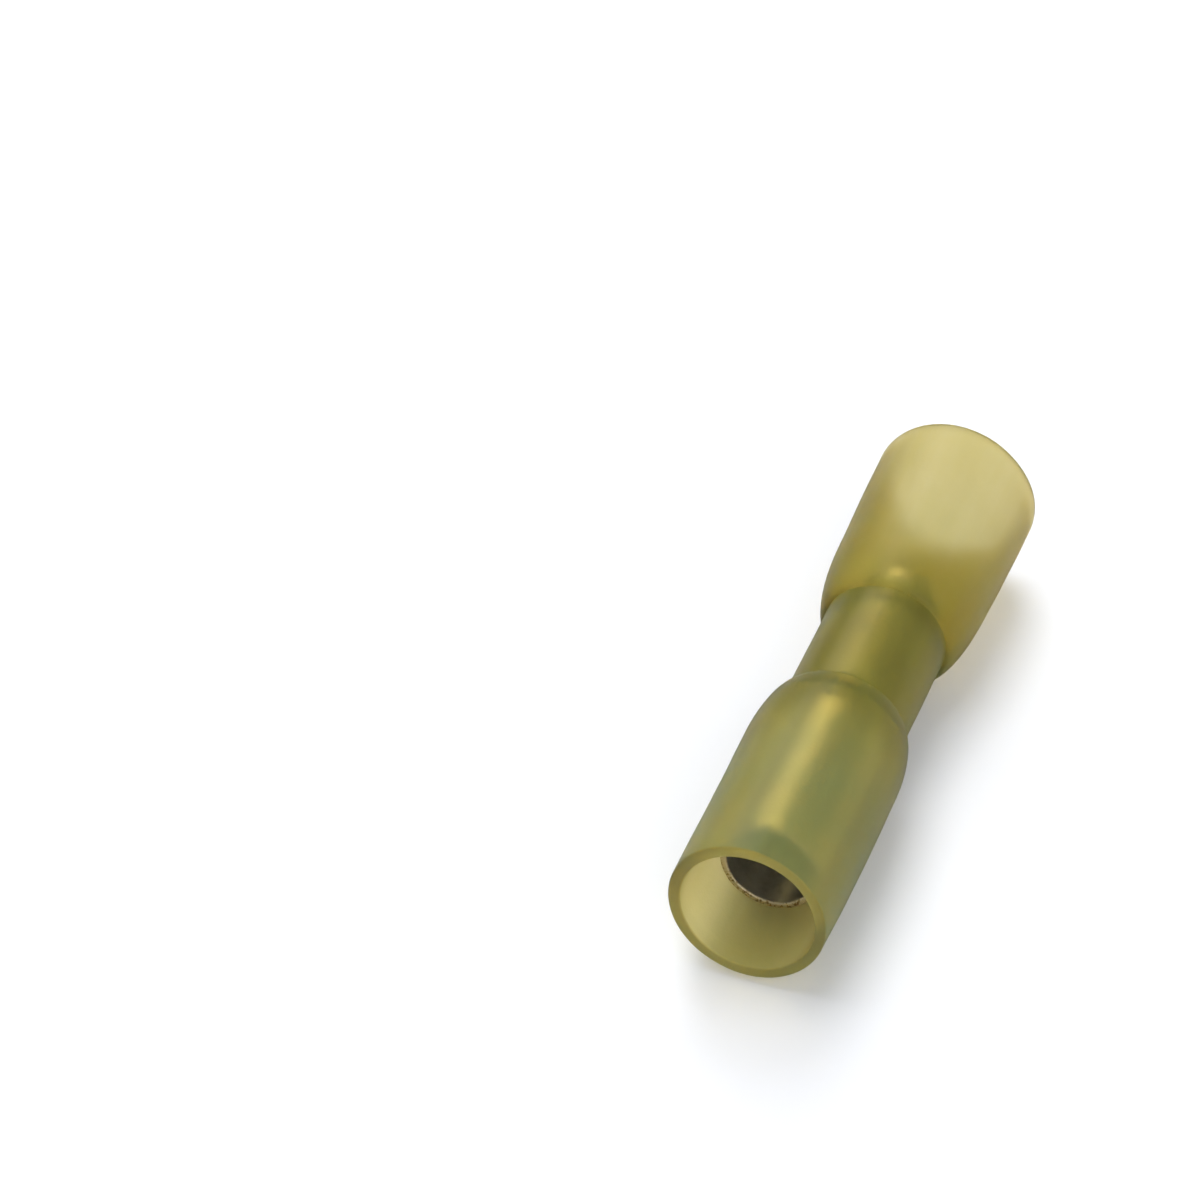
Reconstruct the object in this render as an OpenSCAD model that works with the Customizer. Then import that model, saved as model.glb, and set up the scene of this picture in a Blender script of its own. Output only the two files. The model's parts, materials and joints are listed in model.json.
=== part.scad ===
// Heat-shrink insulated female bullet terminal for 4 to 6 mm2 wire.
// A rolled sheet terminal and a support sleeve on its wire barrel, held in the neck of a
// heat-shrink sleeve that opens into a bell at each end.
// The part lies on its side: +X points out of the mating mouth, +Z is up, and the origin is on
// the resting surface, below the middle of the sleeve.

/* [Heat-shrink sleeve] */
// Length of the sleeve from mouth to mouth
sleeve_len = 38.6; // [37:0.1:45]
// Radial room round the socket inside the mating bell
bell_room = 1.03; // [0.6:0.01:1.5]
// Wall of the mating bell
front_wall = 0.72; // [0.5:0.02:0.9]
// Length of the shoulder between the mating bell and the neck
front_shoulder = 4.1; // [3.5:0.1:5]
// Fullness of the mating bell's shoulder, where 2 is an ellipse
front_fullness = 2; // [1.5:0.05:2.5]
// How far the neck starts ahead of the support sleeve
neck_lead = 0.8; // [0.5:0.1:1]
// Length of the shrunk neck
neck_len = 8.1; // [7:0.1:9]
// Wall of the shrunk neck
neck_wall = 0.8; // [0.6:0.02:1]
// Length of the shoulder between the neck and the wire bell
rear_shoulder = 6; // [4:0.1:7]
// Fullness of the wire bell's shoulder, where 2 is an ellipse
rear_fullness = 1.95; // [1.5:0.05:2.5]
// Inner diameter of the wire bell where its shoulder ends
rear_bore = 8.32; // [7.8:0.02:8.6]
// Inner diameter of the wire bell at its mouth
rear_mouth_bore = 8.84; // [8.6:0.02:10]
// Wall of the wire bell
rear_wall = 0.66; // [0.5:0.02:0.9]
// Radius on the edges of the two mouths
mouth_round = 0.12; // [0.05:0.01:0.2]

/* [Bullet terminal] */
// Thickness of the rolled sheet
sheet = 0.4; // [0.3:0.05:0.6]
// Inner diameter of the socket, for a 5 mm male bullet
socket_bore = 5; // [4.6:0.05:5.2]
// Length of the round socket
socket_len = 11.5; // [9:0.1:12]
// Depth of the socket's rim inside the mating mouth
rim_depth = 3.9; // [3:0.1:5]
// Length of the taper from the socket down to the wire barrel
taper_len = 1.6; // [1:0.1:2]
// Inner diameter of the wire barrel
barrel_bore = 4.1; // [3.6:0.05:4.3]
// Length of the wire barrel
barrel_len = 10.9; // [9:0.1:12]
// Width of the open seam along the socket
socket_seam = 0.45; // [0.2:0.05:0.8]
// Width of the closed seam along the wire barrel
barrel_seam = 0.08; // [0.05:0.01:0.2]
// Turn of the seam from the top of the socket, towards -Y
seam_turn = 82; // [0:1:180]
// Chamfer inside the wire barrel's entry
entry_chamfer = 0.2; // [0.1:0.02:0.25]
// Radius on the socket's rim
rim_round = 0.1; // [0.05:0.01:0.12]

/* [Support sleeve] */
// Wall of the support sleeve
support_wall = 0.43; // [0.3:0.01:0.6]
// Radial clearance between the wire barrel and the support sleeve
support_clearance = 0.02; // [0.01:0.01:0.05]
// Length of the support sleeve
support_len = 9.3; // [8:0.1:10]
// Length of wire barrel left bare past the support sleeve
barrel_reach = 1.2; // [0.5:0.1:2]
// Radius on the support sleeve's edges
support_round = 0.1; // [0.05:0.01:0.12]
// Radial clearance left between the support sleeve and the shrunk neck
grip_clearance = 0; // [0:0.01:0.05]

/* [Hidden] */
$fn = 96;
shoulder_steps = 14;
arc_steps = 4;
overcut = 1;

socket_r = socket_bore / 2;
socket_outer_r = socket_r + sheet;
barrel_r = barrel_bore / 2;
barrel_outer_r = barrel_r + sheet;
support_inner_r = barrel_outer_r + support_clearance;
support_outer_r = support_inner_r + support_wall;
neck_inner_r = support_outer_r + grip_clearance;
neck_outer_r = neck_inner_r + neck_wall;
front_inner_r = socket_outer_r + bell_room;
front_r = front_inner_r + front_wall;
rear_inner_r = rear_bore / 2;
rear_mouth_inner_r = rear_mouth_bore / 2;
rear_mouth_r = rear_mouth_inner_r + rear_wall;

// Stations along the axis, measured inwards from the mating mouth
rim_at = rim_depth;
taper_at = rim_at + socket_len;
barrel_at = taper_at + taper_len;
barrel_end_at = barrel_at + barrel_len;
support_end_at = barrel_end_at - barrel_reach;
support_at = support_end_at - support_len;
neck_at = support_at - neck_lead;
neck_end_at = neck_at + neck_len;
front_shoulder_at = neck_at - front_shoulder;
rear_bell_at = neck_end_at + rear_shoulder;

// The neck's bore is longer than its outside by this much at each end
inner_lead = neck_wall / 2;

axis_height = max(rear_mouth_r, front_r);

// One quarter of a superellipse from (x_flat, r_flat) to (x_neck, r_neck), as points.
// It leaves the straight wall smoothly and meets the neck at a crease.
function shoulder(x_flat, r_flat, x_neck, r_neck, fullness) = [
    for (i = [0 : shoulder_steps])
        let (t = sin(90 * i / shoulder_steps))
        [
            x_flat + (x_neck - x_flat) * t,
            r_neck + (r_flat - r_neck) * pow(1 - pow(t, fullness), 1 / fullness)
        ]
];

function reversed(points) = [for (i = [len(points) - 1 : -1 : 0]) points[i]];

// Turns a half section, drawn as (distance from the mating mouth, radius), about the part's axis
module turned() {
    translate([sleeve_len / 2, 0, axis_height])
        rotate([0, -90, 0])
            rotate_extrude()
                mirror([1, -1, 0])
                    children();
}

// Points of a circular arc about (x, r), from one angle to another
function arc(x, r, radius, from, to) = [
    for (i = [0 : arc_steps])
        let (a = from + (to - from) * i / arc_steps)
        [x + radius * cos(a), r + radius * sin(a)]
];

// The rounded end of a wall on the side of the mating mouth, from its inside to its outside
function near_end(x, inner_r, outer_r, edge) = concat(
    arc(x + edge, inner_r + edge, edge, 270, 180),
    arc(x + edge, outer_r - edge, edge, 180, 90)
);

// The rounded end of a wall on the wire's side, from its outside to its inside
function far_end(x, inner_r, outer_r, edge) = concat(
    arc(x - edge, outer_r - edge, edge, 90, 0),
    arc(x - edge, inner_r + edge, edge, 0, -90)
);

module sleeve_section() {
    polygon(concat(
        near_end(0, front_inner_r, front_r, mouth_round),
        shoulder(front_shoulder_at, front_r, neck_at, neck_outer_r, front_fullness),
        reversed(shoulder(rear_bell_at, rear_inner_r + rear_wall,
            neck_end_at, neck_outer_r, rear_fullness)),
        far_end(sleeve_len, rear_mouth_inner_r, rear_mouth_r, mouth_round),
        shoulder(rear_bell_at + inner_lead, rear_inner_r,
            neck_end_at + inner_lead, neck_inner_r, rear_fullness),
        reversed(shoulder(front_shoulder_at - inner_lead, front_inner_r,
            neck_at - inner_lead, neck_inner_r, front_fullness))
    ));
}

module terminal_section() {
    polygon(concat(
        near_end(rim_at, socket_r, socket_outer_r, rim_round),
        [
            [taper_at, socket_outer_r],
            [barrel_at, barrel_outer_r],
            [barrel_end_at, barrel_outer_r],
            [barrel_end_at, barrel_r + entry_chamfer],
            [barrel_end_at - entry_chamfer, barrel_r],
            [barrel_at, barrel_r],
            [taper_at, socket_r]
        ]
    ));
}

// Slots left by rolling the sheet, drawn along the axis and turned to the seam's side.
// They run past the rim, the barrel's end and the outside by the overcut.
module seam() {
    half_way = (taper_at + barrel_at) / 2;
    translate([sleeve_len / 2, 0, axis_height])
        rotate([seam_turn, 0, 0]) {
            translate([-half_way, -socket_seam / 2, 0])
                cube([half_way - rim_at + overcut, socket_seam, socket_outer_r + overcut]);
            translate([-barrel_end_at - overcut, -barrel_seam / 2, 0])
                cube([barrel_end_at - half_way + 2 * overcut, barrel_seam, barrel_outer_r + overcut]);
        }
}

module heat_shrink_sleeve() {
    color([0.72, 0.68, 0.32, 0.55]) turned() sleeve_section();
}

module bullet_terminal() {
    color([0.72, 0.71, 0.66])
        difference() {
            turned() terminal_section();
            seam();
        }
}

module crimp_support_sleeve() {
    color([0.70, 0.62, 0.48])
        turned()
            polygon(concat(
                near_end(support_at, support_inner_r, support_outer_r, support_round),
                far_end(support_end_at, support_inner_r, support_outer_r, support_round)
            ));
}

heat_shrink_sleeve();
bullet_terminal();
crimp_support_sleeve();
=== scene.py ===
import json
import math

import bpy
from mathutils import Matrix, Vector

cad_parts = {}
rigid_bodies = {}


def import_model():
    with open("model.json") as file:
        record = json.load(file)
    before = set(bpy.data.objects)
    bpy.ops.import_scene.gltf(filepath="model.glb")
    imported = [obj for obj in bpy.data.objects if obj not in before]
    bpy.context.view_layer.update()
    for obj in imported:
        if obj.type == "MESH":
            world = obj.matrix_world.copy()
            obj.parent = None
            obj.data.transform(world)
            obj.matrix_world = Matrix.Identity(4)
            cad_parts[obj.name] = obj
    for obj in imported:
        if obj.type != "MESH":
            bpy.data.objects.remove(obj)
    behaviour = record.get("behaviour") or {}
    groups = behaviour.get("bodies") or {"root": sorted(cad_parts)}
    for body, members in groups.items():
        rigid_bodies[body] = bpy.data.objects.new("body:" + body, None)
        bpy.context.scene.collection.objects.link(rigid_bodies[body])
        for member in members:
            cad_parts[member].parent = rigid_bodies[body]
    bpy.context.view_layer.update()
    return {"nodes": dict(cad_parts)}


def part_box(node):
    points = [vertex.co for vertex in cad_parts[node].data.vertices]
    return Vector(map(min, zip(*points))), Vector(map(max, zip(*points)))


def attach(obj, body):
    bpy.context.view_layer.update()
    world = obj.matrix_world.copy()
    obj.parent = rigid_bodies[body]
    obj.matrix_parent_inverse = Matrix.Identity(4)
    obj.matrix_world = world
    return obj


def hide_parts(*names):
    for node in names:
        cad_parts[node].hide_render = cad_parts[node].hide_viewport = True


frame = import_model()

bl_info = {
    "name": "Heat-shrink bullet terminal",
    "version": (1, 0, 0),
    "blender": (4, 5, 0),
    "location": "3D View > Sidebar > Terminal",
    "description": "Looks of a female bullet terminal in a translucent yellow heat-shrink sleeve",
    "category": "Object",
}

MM = 0.001
WHITE = (1.0, 1.0, 1.0, 1.0)

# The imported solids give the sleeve's length, its widest mouth and where the metal lies in it
SLEEVE_LOW, SLEEVE_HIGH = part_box("heat_shrink_sleeve")
SUPPORT_LOW, SUPPORT_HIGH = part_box("crimp_support_sleeve")
SOCKET_RIM_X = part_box("bullet_terminal")[1].x
AXIS_HEIGHT = (SLEEVE_LOW.z + SLEEVE_HIGH.z) / 2
WIRE_MOUTH_RADIUS = (SLEEVE_HIGH.y - SLEEVE_LOW.y) / 2
SUPPORT_RADIUS = (SUPPORT_HIGH.y - SUPPORT_LOW.y) / 2

# Fineness of the sleeve's mesh: sides round the tube, and rings along its parts
TUBE_SIDES = 96
MATING_RINGS = 12
SHOULDER_RINGS = 12
NECK_RINGS = 8
WIRE_RINGS = 8
MOUTH_SEGMENTS = 3
SMOOTH_ANGLE = math.radians(35)


def linear(hex_colour):
    """An sRGB colour, written as in a paint program, as the linear colour that shaders take."""
    channels = [int(hex_colour[i:i + 2], 16) / 255 for i in (1, 3, 5)]
    return tuple(c / 12.92 if c <= 0.04045 else ((c + 0.055) / 1.055) ** 2.4 for c in channels)


def length(name, description, default_mm):
    """A size property, given in millimetres and kept in metres."""
    return bpy.props.FloatProperty(
        name=name, description=description, default=default_mm * MM, unit="LENGTH", precision=5
    )


def share(name, description, default):
    """A property from nothing to all."""
    return bpy.props.FloatProperty(
        name=name, description=description, default=default, min=0.0, max=1.0, precision=3
    )


def brightness(name, description, default):
    """How bright a lamp or the surroundings look, where 1 is white."""
    return bpy.props.FloatProperty(
        name=name, description=description, default=default, min=0.0, soft_max=20.0
    )


def angle(name, description, degrees):
    """An angle property, given in degrees."""
    return bpy.props.FloatProperty(
        name=name, description=description, default=math.radians(degrees), subtype="ANGLE"
    )


def colour(name, description, default):
    """A colour property, given as an sRGB colour."""
    return bpy.props.FloatVectorProperty(
        name=name, description=description, default=linear(default), size=3,
        subtype="COLOR", min=0.0, max=1.0,
    )


class SleeveSettings(bpy.types.PropertyGroup):
    """Sizes and finish of the heat-shrink sleeve"""

    mating_radius: length("Mating bell radius", "Outer radius of the bell round the socket", 4.65)
    mating_wall: length("Mating bell wall", "Wall of the bell round the socket", 0.72)
    mating_shoulder: length("Mating shoulder", "Length of the shoulder down to the neck", 4.1)
    neck_radius: length("Neck radius", "Outer radius of the shrunk neck", 3.7)
    neck_lead: length("Neck lead", "How far the neck starts ahead of the support sleeve", 0.8)
    neck_length: length("Neck length", "Length of the shrunk neck", 8.1)
    wire_shoulder: length("Wire shoulder", "Length of the shoulder up to the wire bell", 6.0)
    wire_radius: length("Wire bell radius", "Outer radius of the wire bell past its shoulder", 4.82)
    wire_wall: length("Wire bell wall", "Wall of the wire bell", 0.66)
    mouth_round: length("Mouth rounding", "Width of the rounding on the edges of the mouths", 0.12)
    oval_reach: length("Oval reach", "How far the ovalness of a mouth reaches into its bell", 9.0)
    oval: share("Ovalness", "How much taller than wide each mouth is", 0.02)
    grip: length("Grip", "How far the plastic is pressed on the support sleeve", 0.02)
    wave: length("Wave", "Unevenness left on the outside by the blowing of the bells", 0.14)
    wave_size: length("Wave size", "Size of one wave", 7.0)
    wave_balance: share("Wave balance", "Height in the wave pattern that stays in place", 0.6)
    depth_tint: colour("Depth tint", "Colour that light keeps on its way inside the wall", "#e6d445")
    absorption: bpy.props.FloatProperty(
        name="Absorption", description="How fast the wall takes up light, per metre", default=1350.0,
    )
    mating_haze_tint: colour("Mating haze tint", "Milky colour of the mating bell", "#c2f0aa")
    mating_haze: share("Mating haze", "Milkiness of the mating bell", 0.25)
    neck_haze_tint: colour("Neck haze tint", "Milky colour of the thick shrunk neck", "#cfe874")
    neck_haze: share("Neck haze", "Milkiness of the shrunk neck", 0.2)
    wire_haze_tint: colour("Wire haze tint", "Milky colour of the wire bell", "#d8e288")
    wire_haze: share("Wire haze", "Milkiness of the wire bell", 0.29)
    cut_haze_tint: colour("Cut haze tint", "Milky colour of the mouths' cut faces", "#e6e68c")
    cut_haze: share("Cut haze", "Milkiness that the knife adds on the mouths' faces", 0.14)
    glow_tint: colour("Glow tint", "Colour of the light that the haze lets through", "#f0d058")
    glow: share("Glow", "How much of the haze's light goes through instead of back", 0.5)
    ior: bpy.props.FloatProperty(
        name="IOR", description="How strongly the frosted surface bends light", default=1.25, min=1.0,
    )
    dullness: share("Dullness", "Share of the clear plastic that has no gloss", 0.4)
    bell_roughness: share("Bell roughness", "Mean roughness of the bells", 0.33)
    neck_roughness: share("Neck roughness", "Mean roughness of the neck", 0.3)


class MetalSettings(bpy.types.PropertyGroup):
    """Finish of the terminal and its support sleeve"""

    plating: colour("Plating", "Tin plating of the terminal", "#dddad2")
    tarnish: colour("Tarnish", "Duller tin in blotches", "#a8a292")
    support: colour("Support sleeve", "Satin plating of the support sleeve", "#bec1b2")
    bare: colour("Bare edge", "Brass where the strip was cut", "#bdb092")
    burnt: colour("Edge speckles", "Darkened specks on the cut edge", "#77613f")


class StageSettings(bpy.types.PropertyGroup):
    """Camera, floor and lamps"""

    distance: length("Camera distance", "From the aimed-at point to the camera", 282.34)
    azimuth: angle("Camera azimuth", "Turn of the camera from +X towards +Y", 20.41)
    elevation: angle("Camera elevation", "Height of the camera above the floor", 40.41)
    aim: bpy.props.FloatVectorProperty(
        name="Aim", description="Point on the floor in the middle of the picture",
        default=(-8.26 * MM, -18.73 * MM, 0.0), size=3, subtype="TRANSLATION",
    )
    lens: bpy.props.FloatProperty(
        name="Lens", description="Focal length in millimetres", default=140.57, min=1.0,
    )
    key: brightness("Key light", "Brightness of the high soft light", 3.7)
    streak: brightness("Streak light", "Brightness of the light that draws the streaks", 3.8)
    fill: brightness("Fill light", "Brightness of the weak light from the right", 1.75)
    overhead: brightness("Overhead", "Brightness of the surroundings overhead", 0.3)
    horizon: brightness("Horizon", "Brightness of the surroundings at the horizon", 0.6)
    floor_lift: brightness("Floor lift", "Brightness added to the floor where it is seen", 0.08)


def add_node(tree, kind, settings=None, inputs=None):
    """Adds a node, sets its own properties and then its inputs, each to a value or a link. A colour
    mix has its two colours at inputs 6 and 7 and its result at output 2."""
    node = tree.nodes.new(kind)
    for name, value in (settings or {}).items():
        setattr(node, name, value)
    for name, value in (inputs or {}).items():
        if isinstance(value, bpy.types.NodeSocket):
            tree.links.new(value, node.inputs[name])
        else:
            node.inputs[name].default_value = value
    return node


def new_material(name):
    """An empty material with its output node."""
    material = bpy.data.materials.new(name)
    material.use_nodes = True
    material.node_tree.nodes.clear()
    output = add_node(material.node_tree, "ShaderNodeOutputMaterial")
    return material, material.node_tree, output


def deselect_everything():
    """Leaves edit mode and nothing selected, since operators act on all that is selected."""
    if bpy.context.mode != "OBJECT":
        bpy.ops.object.mode_set(mode="OBJECT")
    for item in bpy.context.scene.objects:
        item.select_set(False)


# ---- sleeve ----

def shoulder(x_flat, r_flat, x_neck, r_neck, steps):
    """Points on a quarter ellipse that leaves the straight wall smoothly and creases at the neck."""
    points = []
    for i in range(steps + 1):
        t = math.sin(math.pi / 2 * i / steps)
        x = x_flat + (x_neck - x_flat) * t
        radius = r_neck + (r_flat - r_neck) * math.sqrt(1 - t * t)
        points.append((x, radius))
    return points


def straight(x0, r0, x1, r1, steps):
    """Points between the two ends of a straight wall, without the ends."""
    return [
        (x0 + (x1 - x0) * i / steps, r0 + (r1 - r0) * i / steps)
        for i in range(1, steps)
    ]


def wall_outlines(s, neck_x, neck_end_x):
    """The outside of the wall from the mating mouth to the wire mouth, and the inside back again,
    as (x, radius). The bore narrows and widens a little outside the neck, as wall goes round."""
    mating_x = neck_x + s.mating_shoulder
    wire_x = neck_end_x - s.wire_shoulder
    bore = SUPPORT_RADIUS - s.grip
    lead = (s.neck_radius - SUPPORT_RADIUS) / 2
    mating_inner = s.mating_radius - s.mating_wall
    wire_inner = s.wire_radius - s.wire_wall
    mouth_inner = WIRE_MOUTH_RADIUS - s.wire_wall
    outside = (
        [(SLEEVE_HIGH.x, s.mating_radius)]
        + straight(SLEEVE_HIGH.x, s.mating_radius, mating_x, s.mating_radius, MATING_RINGS)
        + shoulder(mating_x, s.mating_radius, neck_x, s.neck_radius, SHOULDER_RINGS)
        + straight(neck_x, s.neck_radius, neck_end_x, s.neck_radius, NECK_RINGS)
        + shoulder(wire_x, s.wire_radius, neck_end_x, s.neck_radius, SHOULDER_RINGS)[::-1]
        + straight(wire_x, s.wire_radius, SLEEVE_LOW.x, WIRE_MOUTH_RADIUS, WIRE_RINGS)
        + [(SLEEVE_LOW.x, WIRE_MOUTH_RADIUS)]
    )
    inside = (
        [(SLEEVE_LOW.x, mouth_inner)]
        + straight(SLEEVE_LOW.x, mouth_inner, wire_x - lead, wire_inner, WIRE_RINGS)
        + shoulder(wire_x - lead, wire_inner, neck_end_x - lead, bore, SHOULDER_RINGS)
        + straight(neck_end_x - lead, bore, neck_x + lead, bore, NECK_RINGS)
        + shoulder(mating_x + lead, mating_inner, neck_x + lead, bore, SHOULDER_RINGS)[::-1]
        + straight(mating_x + lead, mating_inner, SLEEVE_HIGH.x, mating_inner, MATING_RINGS)
        + [(SLEEVE_HIGH.x, mating_inner)]
    )
    return outside, inside


def extrude_rings(rings):
    """Goes on from the selected ring to each next one along the axis, given as (x, radius)."""
    for (x0, r0), (x1, r1) in zip(rings, rings[1:]):
        bpy.ops.mesh.extrude_edges_move(TRANSFORM_OT_translate={"value": (x1 - x0, 0, 0)})
        if not math.isclose(r0, r1, rel_tol=1e-6):
            bpy.ops.transform.resize(
                value=(1, r1 / r0, r1 / r0), center_override=(x1, 0, AXIS_HEIGHT)
            )


def select_ring(mesh, x):
    """Selects the vertices of one plane across the axis."""
    bpy.ops.mesh.select_all(action="DESELECT")
    bpy.ops.object.mode_set(mode="OBJECT")
    for vertex in mesh.vertices:
        vertex.select = abs(vertex.co.x - x) < 0.001 * MM
    bpy.ops.object.mode_set(mode="EDIT")


def draw_wall(mesh, outside, inside):
    """Draws the tube out of its first ring, which is all there is. A vertex group holds the outside."""
    bpy.ops.mesh.select_all(action="SELECT")
    extrude_rings(outside)
    bpy.ops.mesh.select_all(action="SELECT")
    bpy.ops.object.vertex_group_assign_new()
    select_ring(mesh, SLEEVE_LOW.x)
    extrude_rings([outside[-1]] + inside)
    bpy.ops.mesh.select_all(action="DESELECT")
    bpy.ops.mesh.select_non_manifold(extend=False)
    bpy.ops.mesh.bridge_edge_loops()
    bpy.ops.mesh.select_all(action="SELECT")
    bpy.ops.mesh.normals_make_consistent(inside=False)


def stretch_mouths(mesh, stations, s):
    """Makes each mouth taller than wide, with its foot on the floor, and fades that into its bell."""
    for x in stations:
        depth = min(x - SLEEVE_LOW.x, SLEEVE_HIGH.x - x)
        if depth < s.oval_reach:
            stretch = s.oval * (1 - depth / s.oval_reach) ** 2
            select_ring(mesh, x)
            bpy.ops.transform.resize(
                value=(1, 1 - stretch, 1 + stretch), center_override=(x, 0, 0)
            )


def round_mouths(mesh, s):
    """Rounds the inner and the outer edge of each mouth."""
    for mouth_x in (SLEEVE_LOW.x, SLEEVE_HIGH.x):
        select_ring(mesh, mouth_x)
        bpy.ops.mesh.select_mode(type="EDGE")
        bpy.ops.mesh.region_to_loop()
        bpy.ops.mesh.bevel(offset=s.mouth_round, segments=MOUTH_SEGMENTS, profile=0.5)
        bpy.ops.mesh.select_mode(type="VERT")


def add_waves(sleeve, s):
    """Makes the outside of the sleeve gently uneven and leaves its bore as it is."""
    clouds = bpy.data.textures.new("blown_plastic", type="CLOUDS")
    clouds.noise_scale = s.wave_size
    bpy.ops.object.modifier_add(type="DISPLACE")
    waves = sleeve.modifiers[-1]
    waves.texture = clouds
    waves.strength = s.wave
    waves.mid_level = s.wave_balance
    waves.vertex_group = sleeve.vertex_groups[0].name
    if bpy.ops.object.modifier_apply(modifier=waves.name) != {"FINISHED"}:
        raise RuntimeError("The waves could not be applied to the sleeve")
    bpy.data.textures.remove(clouds)


class TERMINAL_OT_sleeve(bpy.types.Operator):
    """Model the heat-shrink sleeve and give it its plastic"""

    bl_idname = "terminal.sleeve"
    bl_label = "Heat-shrink sleeve"

    def execute(self, context):
        s = context.scene.sleeve_settings
        neck_x = SUPPORT_HIGH.x + s.neck_lead
        neck_end_x = neck_x - s.neck_length
        outside, inside = wall_outlines(s, neck_x, neck_end_x)
        deselect_everything()
        bpy.ops.mesh.primitive_circle_add(
            vertices=TUBE_SIDES, radius=s.mating_radius, location=(SLEEVE_HIGH.x, 0, AXIS_HEIGHT),
            rotation=(0, math.pi / 2, 0),
        )
        sleeve = context.active_object
        sleeve.name = "shrink_sleeve"
        bpy.ops.object.transform_apply(location=True, rotation=True, scale=True)
        bpy.ops.object.mode_set(mode="EDIT")
        bpy.ops.mesh.select_mode(type="VERT")
        draw_wall(sleeve.data, outside, inside)
        stations = sorted({round(x, 7) for x, radius in outside + inside})
        stretch_mouths(sleeve.data, stations, s)
        round_mouths(sleeve.data, s)
        bpy.ops.object.mode_set(mode="OBJECT")
        add_waves(sleeve, s)
        bpy.ops.object.shade_smooth_by_angle(angle=SMOOTH_ANGLE)
        sleeve.data.materials.append(cross_linked_polyolefin(s, (neck_x + neck_end_x) / 2))
        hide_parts("heat_shrink_sleeve")
        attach(sleeve, "root")
        return {"FINISHED"}


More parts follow.
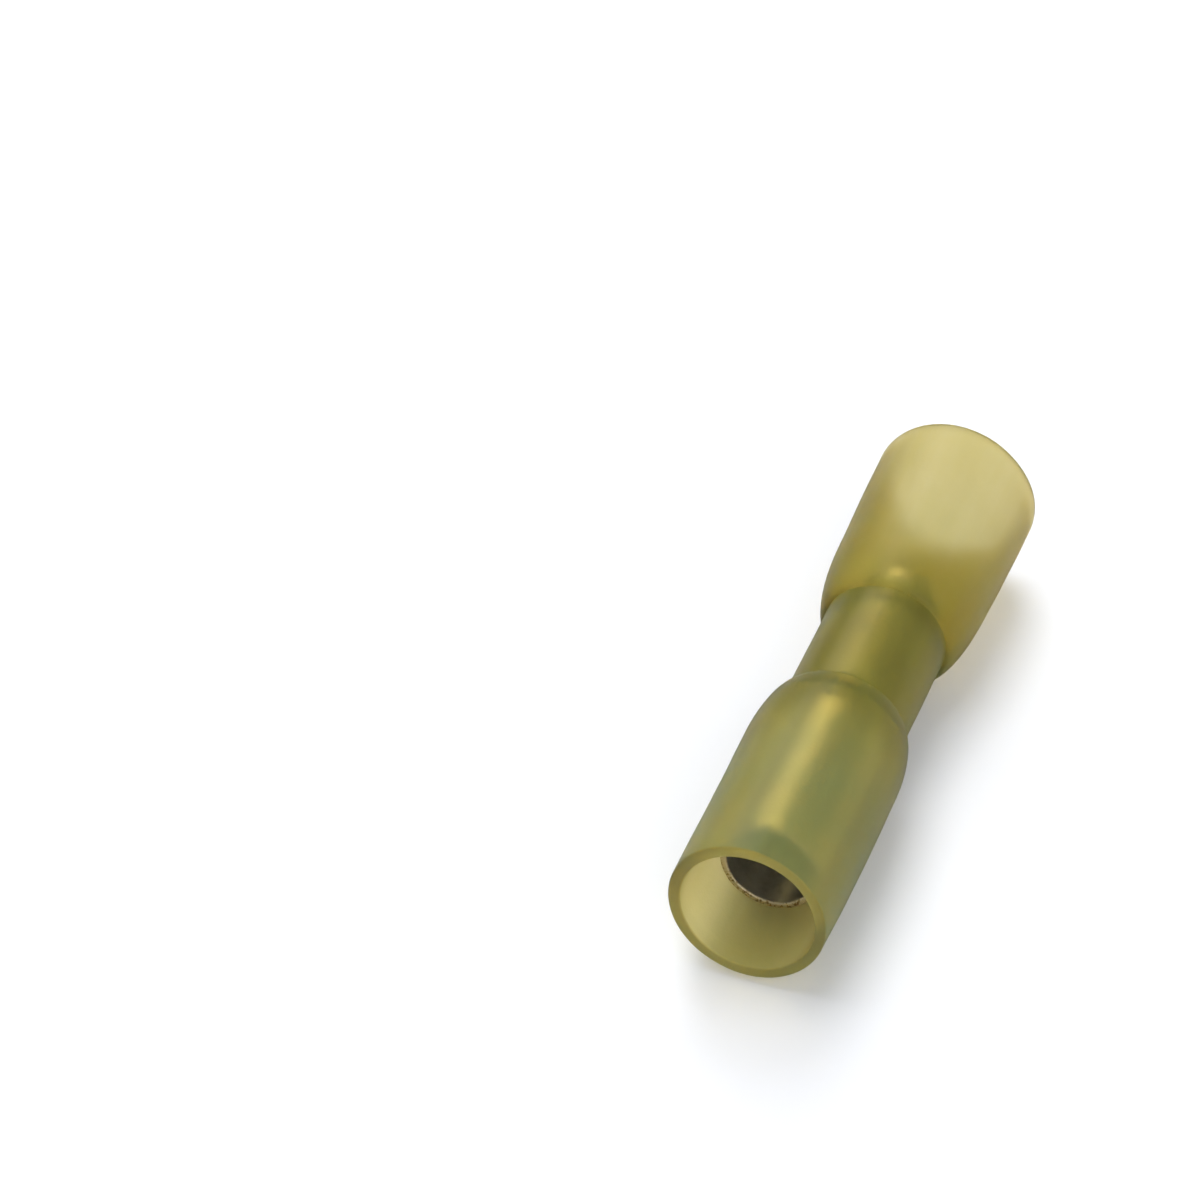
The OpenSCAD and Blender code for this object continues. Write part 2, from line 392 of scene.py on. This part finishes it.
def cross_linked_polyolefin(s, neck_centre_x):
    """Frosted amber plastic. Light is coloured by its way through the wall. A milky haze lies on
    it, greener on the mating bell, weaker in the neck, and stronger on the cut faces. Light that
    the haze lets through comes out golden, and metal shows through as a soft dark shape."""
    material, tree, output = new_material("cross_linked_polyolefin")
    place = add_node(tree, "ShaderNodeTexCoord").outputs["Object"]
    x = add_node(tree, "ShaderNodeSeparateXYZ", inputs={0: place}).outputs["X"]
    from_neck = add_node(tree, "ShaderNodeMath", {"operation": "SUBTRACT"}, {
        0: x, 1: neck_centre_x,
    }).outputs[0]

    # Clouds about 3 mm wide from uneven heating, lines 1 mm apart that run along the drawn tube, and
    # the frosting's grain of 0.2 mm, coarser than the real one so that it shows
    clouds = add_node(tree, "ShaderNodeTexNoise", inputs={
        "Vector": place, "Scale": 0.3 / MM, "Detail": 3.0, "Roughness": 0.5,
    }).outputs["Fac"]
    drawn = add_node(tree, "ShaderNodeMapping", inputs={
        "Vector": place, "Scale": (0.06 / MM, 1.1 / MM, 1.1 / MM),
    }).outputs["Vector"]
    drawn = add_node(tree, "ShaderNodeTexNoise", inputs={
        "Vector": drawn, "Scale": 1.0, "Detail": 4.0, "Roughness": 0.6,
    }).outputs["Fac"]
    grain = add_node(tree, "ShaderNodeTexNoise", inputs={
        "Vector": place, "Scale": 5 / MM, "Detail": 2.0,
    }).outputs["Fac"]

    # From the wire bell through the neck to the mating bell, the ramp's colour is the haze's tint
    # and its alpha the haze's strength. Within 3 mm of the neck's middle it is the neck's own.
    haze_reach = 13 * MM
    station = add_node(tree, "ShaderNodeMapRange", inputs={
        "Value": from_neck, "From Min": -haze_reach, "From Max": haze_reach,
    }).outputs["Result"]
    bells = add_node(tree, "ShaderNodeValToRGB", inputs={0: station})
    bells.color_ramp.interpolation = "EASE"
    bells.color_ramp.elements[0].color = (*s.wire_haze_tint, s.wire_haze)
    bells.color_ramp.elements[1].color = (*s.mating_haze_tint, s.mating_haze)
    for stop in (0.38, 0.62):
        bells.color_ramp.elements.new(stop).color = (*s.neck_haze_tint, s.neck_haze)
    uneven = add_node(tree, "ShaderNodeMath", {"operation": "ADD"}, {0: clouds, 1: drawn})
    uneven = add_node(tree, "ShaderNodeMapRange", inputs={
        "Value": uneven.outputs[0], "From Min": 0.7, "From Max": 1.3, "To Min": 0.8, "To Max": 1.2,
    }).outputs["Result"]
    haze = add_node(tree, "ShaderNodeMath", {"operation": "MULTIPLY"}, {
        0: bells.outputs["Alpha"], 1: uneven,
    }).outputs[0]

    # The knife leaves the mouths' faces and their rounded edges milkier
    middle = (SLEEVE_LOW.x + SLEEVE_HIGH.x) / 2
    half_length = SLEEVE_HIGH.x - middle
    end = add_node(tree, "ShaderNodeMath", {"operation": "SUBTRACT"}, {0: x, 1: middle})
    end = add_node(tree, "ShaderNodeMath", {"operation": "ABSOLUTE"}, {0: end.outputs[0]}).outputs[0]
    cut = add_node(tree, "ShaderNodeMapRange", inputs={
        "Value": end, "From Min": half_length - 0.15 * MM, "From Max": half_length - 0.03 * MM,
    }).outputs["Result"]
    haze = add_node(tree, "ShaderNodeMath", {"operation": "MULTIPLY_ADD"}, {
        0: cut, 1: s.cut_haze, 2: haze,
    }).outputs[0]
    haze_tint = add_node(tree, "ShaderNodeMix", {"data_type": "RGBA"}, {
        "Factor": cut, 6: bells.outputs["Color"], 7: (*s.cut_haze_tint, 1.0),
    }).outputs[2]

    # The frosting is stronger past the two creases
    neck_half = s.neck_length / 2
    blown = add_node(tree, "ShaderNodeMath", {"operation": "ABSOLUTE"}, {0: from_neck})
    roughness = add_node(tree, "ShaderNodeMapRange", {"interpolation_type": "SMOOTHSTEP"}, {
        "Value": blown.outputs[0],
        "From Min": neck_half + 0.05 * MM, "From Max": neck_half + 0.25 * MM,
        "To Min": s.neck_roughness, "To Max": s.bell_roughness,
    }).outputs["Result"]
    rubbed = add_node(tree, "ShaderNodeMapRange", inputs={
        "Value": clouds, "From Min": 0.3, "From Max": 0.7, "To Min": 0.95, "To Max": 1.06,
    }).outputs["Result"]
    roughness = add_node(tree, "ShaderNodeMath", {"operation": "MULTIPLY"}, {
        0: roughness, 1: rubbed,
    }).outputs[0]
    relief = add_node(tree, "ShaderNodeMath", {"operation": "ADD"}, {0: drawn, 1: grain}).outputs[0]
    bump = add_node(tree, "ShaderNodeBump", inputs={
        "Height": relief, "Strength": 0.5, "Distance": 0.012 * MM,
    }).outputs["Normal"]

    # Part of the clear plastic has no gloss, so that the silhouette has only a faint pale rim. The
    # IOR is below polyolefin's 1.5, because the frosting hides much of its gloss and its lens effect.
    glossy = add_node(tree, "ShaderNodeBsdfPrincipled", inputs={
        "Base Color": WHITE, "Roughness": roughness, "IOR": s.ior, "Transmission Weight": 1.0,
        "Normal": bump,
    })
    plain = add_node(tree, "ShaderNodeBsdfRefraction", inputs={
        "Color": WHITE, "Roughness": roughness, "IOR": s.ior, "Normal": bump,
    })
    clear = add_node(tree, "ShaderNodeMixShader", inputs={
        0: s.dullness, 1: glossy.outputs[0], 2: plain.outputs[0],
    })

    # The haze: milk that sends light back and a glow that lets it through
    milk = add_node(tree, "ShaderNodeBsdfDiffuse", inputs={"Color": haze_tint, "Normal": bump})
    glow = add_node(tree, "ShaderNodeBsdfTranslucent", inputs={"Color": (*s.glow_tint, 1.0)})
    veil = add_node(tree, "ShaderNodeMixShader", inputs={
        0: s.glow, 1: milk.outputs[0], 2: glow.outputs[0],
    })
    wall = add_node(tree, "ShaderNodeMixShader", inputs={
        0: haze, 1: clear.outputs[0], 2: veil.outputs[0],
    })
    inside = add_node(tree, "ShaderNodeVolumeAbsorption", inputs={
        "Color": (*s.depth_tint, 1.0), "Density": s.absorption,
    })
    tree.links.new(wall.outputs[0], output.inputs["Surface"])
    tree.links.new(inside.outputs[0], output.inputs["Volume"])
    return material


# ---- metal ----

def marked_metal(tree, output, surface, marks, smoothest, roughest):
    """Puts metal of this colour on the output, with a gloss and a slight relief that follow the
    marks."""
    roughness = add_node(tree, "ShaderNodeMapRange", inputs={
        "Value": marks, "From Min": 0.3, "From Max": 0.7, "To Min": smoothest, "To Max": roughest,
    }).outputs["Result"]
    bump = add_node(tree, "ShaderNodeBump", inputs={
        "Height": marks, "Strength": 0.4, "Distance": 0.004 * MM,
    }).outputs["Normal"]
    metal = add_node(tree, "ShaderNodeBsdfPrincipled", inputs={
        "Base Color": surface, "Metallic": 1.0, "Roughness": roughness, "Normal": bump,
    })
    tree.links.new(metal.outputs[0], output.inputs["Surface"])


def tin_plated_brass(s):
    """Rolled brass strip with dull tin on it. Mill marks run round the roll, 0.1 mm apart, and duller
    blotches are 1.5 mm wide. The strip's cut edge at the rim is bare brass with dark specks."""
    material, tree, output = new_material("tin_plated_brass")
    place = add_node(tree, "ShaderNodeTexCoord").outputs["Object"]
    blotches = add_node(tree, "ShaderNodeTexNoise", inputs={
        "Vector": place, "Scale": 0.7 / MM, "Detail": 5.0, "Roughness": 0.6,
    }).outputs["Fac"]
    dull = add_node(tree, "ShaderNodeMapRange", inputs={
        "Value": blotches, "From Min": 0.45, "From Max": 0.75, "To Max": 0.6,
    }).outputs["Result"]
    tin = add_node(tree, "ShaderNodeMix", {"data_type": "RGBA"}, {
        "Factor": dull, 6: (*s.plating, 1.0), 7: (*s.tarnish, 1.0),
    }).outputs[2]
    specks = add_node(tree, "ShaderNodeTexNoise", inputs={
        "Vector": place, "Scale": 6 / MM, "Detail": 3.0,
    }).outputs["Fac"]
    specks = add_node(tree, "ShaderNodeMapRange", inputs={
        "Value": specks, "From Min": 0.5, "From Max": 0.62,
    }).outputs["Result"]
    edge = add_node(tree, "ShaderNodeMix", {"data_type": "RGBA"}, {
        "Factor": specks, 6: (*s.bare, 1.0), 7: (*s.burnt, 1.0),
    }).outputs[2]
    along = add_node(tree, "ShaderNodeSeparateXYZ", inputs={0: place}).outputs["X"]
    cut = add_node(tree, "ShaderNodeMapRange", inputs={
        "Value": along, "From Min": SOCKET_RIM_X - 0.1 * MM, "From Max": SOCKET_RIM_X - 0.04 * MM,
    }).outputs["Result"]
    surface = add_node(tree, "ShaderNodeMix", {"data_type": "RGBA"}, {
        "Factor": cut, 6: tin, 7: edge,
    }).outputs[2]
    marks = add_node(tree, "ShaderNodeMapping", inputs={
        "Vector": place, "Scale": (9 / MM, 0.3 / MM, 0.3 / MM),
    }).outputs["Vector"]
    marks = add_node(tree, "ShaderNodeTexNoise", inputs={
        "Vector": marks, "Scale": 1.0, "Detail": 3.0,
    }).outputs["Fac"]
    marked_metal(tree, output, surface, marks, smoothest=0.34, roughest=0.46)
    return material


def satin_plated_brass(s):
    """Cut tube with a satin plating, duller than the terminal. Turning marks run round it, 0.15 mm
    apart, and the plating is clouded every 2 mm."""
    material, tree, output = new_material("satin_plated_brass")
    place = add_node(tree, "ShaderNodeTexCoord").outputs["Object"]
    clouds = add_node(tree, "ShaderNodeTexNoise", inputs={
        "Vector": place, "Scale": 0.5 / MM, "Detail": 3.0,
    }).outputs["Fac"]
    dull = add_node(tree, "ShaderNodeMapRange", inputs={
        "Value": clouds, "From Min": 0.4, "From Max": 0.7, "To Max": 0.5,
    }).outputs["Result"]
    surface = add_node(tree, "ShaderNodeMix", {"data_type": "RGBA"}, {
        "Factor": dull, 6: (*s.support, 1.0), 7: (*s.tarnish, 1.0),
    }).outputs[2]
    turned = add_node(tree, "ShaderNodeMapping", inputs={
        "Vector": place, "Scale": (7 / MM, 0.2 / MM, 0.2 / MM),
    }).outputs["Vector"]
    turned = add_node(tree, "ShaderNodeTexNoise", inputs={
        "Vector": turned, "Scale": 1.0, "Detail": 3.0,
    }).outputs["Fac"]
    marked_metal(tree, output, surface, turned, smoothest=0.5, roughest=0.6)
    return material


class TERMINAL_OT_metal(bpy.types.Operator):
    """Give the terminal and its support sleeve their metal"""

    bl_idname = "terminal.metal"
    bl_label = "Metal finishes"

    def execute(self, context):
        s = context.scene.metal_settings
        finishes = {
            "bullet_terminal": tin_plated_brass(s),
            "crimp_support_sleeve": satin_plated_brass(s),
        }
        for name, finish in finishes.items():
            node = frame["nodes"][name]
            node.data.materials.clear()
            node.data.materials.append(finish)
        return {"FINISHED"}


# ---- stage ----

def towards(azimuth, elevation):
    """The direction with this turn from +X towards +Y and this height above the floor."""
    return Vector((
        math.cos(elevation) * math.cos(azimuth),
        math.cos(elevation) * math.sin(azimuth),
        math.sin(elevation),
    ))


def add_camera(context, s):
    """The camera, at its distance from the point that it is aimed at."""
    direction = towards(s.azimuth, s.elevation)
    bpy.ops.object.camera_add(
        location=Vector(s.aim) + direction * s.distance,
        rotation=direction.to_track_quat("Z", "Y").to_euler(),
    )
    camera = context.active_object
    camera.data.lens = s.lens
    camera.data.sensor_width = 36.0
    camera.data.clip_start = 0.01
    context.scene.camera = camera


def add_softbox(context, name, azimuth, elevation, width, height, shine):
    """A square of soft light one metre away, turned to the origin. Its angles are in degrees."""
    direction = towards(math.radians(azimuth), math.radians(elevation))
    bpy.ops.object.light_add(
        type="AREA", location=direction, rotation=direction.to_track_quat("Z", "Y").to_euler(),
    )
    lamp = context.active_object
    lamp.name = name
    lamp.data.shape = "RECTANGLE"
    lamp.data.size = width
    lamp.data.size_y = height
    lamp.data.energy = shine * math.pi * width * height


def floor_white(lift):
    """Matt white floor. To the camera, to gloss and to glass it is lifted to plain white, and it
    keeps the shadow that falls on it."""
    material, tree, output = new_material("matt_white_floor")
    matt = add_node(tree, "ShaderNodeBsdfDiffuse", inputs={"Color": (0.95, 0.95, 0.95, 1.0)})
    path = add_node(tree, "ShaderNodeLightPath")
    seen = add_node(tree, "ShaderNodeMath", {"operation": "MAXIMUM"}, {
        0: path.outputs["Is Camera Ray"], 1: path.outputs["Is Glossy Ray"],
    })
    seen = add_node(tree, "ShaderNodeMath", {"operation": "MAXIMUM"}, {
        0: seen.outputs[0], 1: path.outputs["Is Transmission Ray"],
    })
    glow = add_node(tree, "ShaderNodeMath", {"operation": "MULTIPLY"}, {0: seen.outputs[0], 1: lift})
    glow = add_node(tree, "ShaderNodeEmission", inputs={"Strength": glow.outputs[0]})
    both = add_node(tree, "ShaderNodeAddShader", inputs={0: matt.outputs[0], 1: glow.outputs[0]})
    tree.links.new(both.outputs[0], output.inputs["Surface"])
    return material


def pale_surroundings(overhead, horizon):
    """Cool white all round, brighter in a band above the horizon, as the walls of a light tent."""
    world = bpy.data.worlds.new("light_tent")
    world.use_nodes = True
    tree = world.node_tree
    place = add_node(tree, "ShaderNodeTexCoord").outputs["Generated"]
    height = add_node(tree, "ShaderNodeSeparateXYZ", inputs={0: place}).outputs["Z"]
    strength = add_node(tree, "ShaderNodeMapRange", inputs={
        "Value": height, "From Min": 0.05, "From Max": 0.3, "To Min": horizon, "To Max": overhead,
    }).outputs["Result"]
    background = tree.nodes["Background"]
    background.inputs["Color"].default_value = (*linear("#e2ebff"), 1.0)
    tree.links.new(strength, background.inputs["Strength"])
    return world


class TERMINAL_OT_stage(bpy.types.Operator):
    """Set up the camera, the floor, the lamps and the plain pale surroundings"""

    bl_idname = "terminal.stage"
    bl_label = "Stage"

    def execute(self, context):
        s = context.scene.stage_settings
        deselect_everything()
        add_camera(context, s)
        deselect_everything()
        bpy.ops.mesh.primitive_plane_add(size=6.0, location=(0, 0, 0))
        floor = context.active_object
        floor.name = "floor"
        floor.data.materials.append(floor_white(s.floor_lift))
        # Name, azimuth and elevation in degrees, width and height in metres, brightness
        softboxes = (
            ("key_softbox", 250, 78, 0.6, 0.6, s.key),
            ("streak_softbox", 207, 42, 0.55, 0.75, s.streak),
            ("fill_softbox", 40, 36, 0.8, 0.8, s.fill),
        )
        for softbox in softboxes:
            add_softbox(context, *softbox)
        context.scene.world = pale_surroundings(s.overhead, s.horizon)
        context.scene.view_settings.view_transform = "Standard"
        return {"FINISHED"}


class TERMINAL_PT_panel(bpy.types.Panel):
    """Lists what builds the part"""

    bl_idname = "TERMINAL_PT_panel"
    bl_label = "Bullet terminal"
    bl_space_type = "VIEW_3D"
    bl_region_type = "UI"
    bl_category = "Terminal"

    def draw(self, context):
        for operator in OPERATORS:
            self.layout.operator(operator.bl_idname)


SETTINGS = {
    "sleeve_settings": SleeveSettings,
    "metal_settings": MetalSettings,
    "stage_settings": StageSettings,
}
OPERATORS = (TERMINAL_OT_stage, TERMINAL_OT_sleeve, TERMINAL_OT_metal)


def register():
    for name, settings in SETTINGS.items():
        bpy.utils.register_class(settings)
        setattr(bpy.types.Scene, name, bpy.props.PointerProperty(type=settings))
    for item in (*OPERATORS, TERMINAL_PT_panel):
        bpy.utils.register_class(item)


def unregister():
    for item in (TERMINAL_PT_panel, *reversed(OPERATORS)):
        bpy.utils.unregister_class(item)
    for name, settings in reversed(SETTINGS.items()):
        delattr(bpy.types.Scene, name)
        bpy.utils.unregister_class(settings)


def main():
    register()
    bpy.ops.terminal.stage()
    bpy.ops.terminal.sleeve()
    bpy.ops.terminal.metal()


if __name__ == "__main__":
    main()
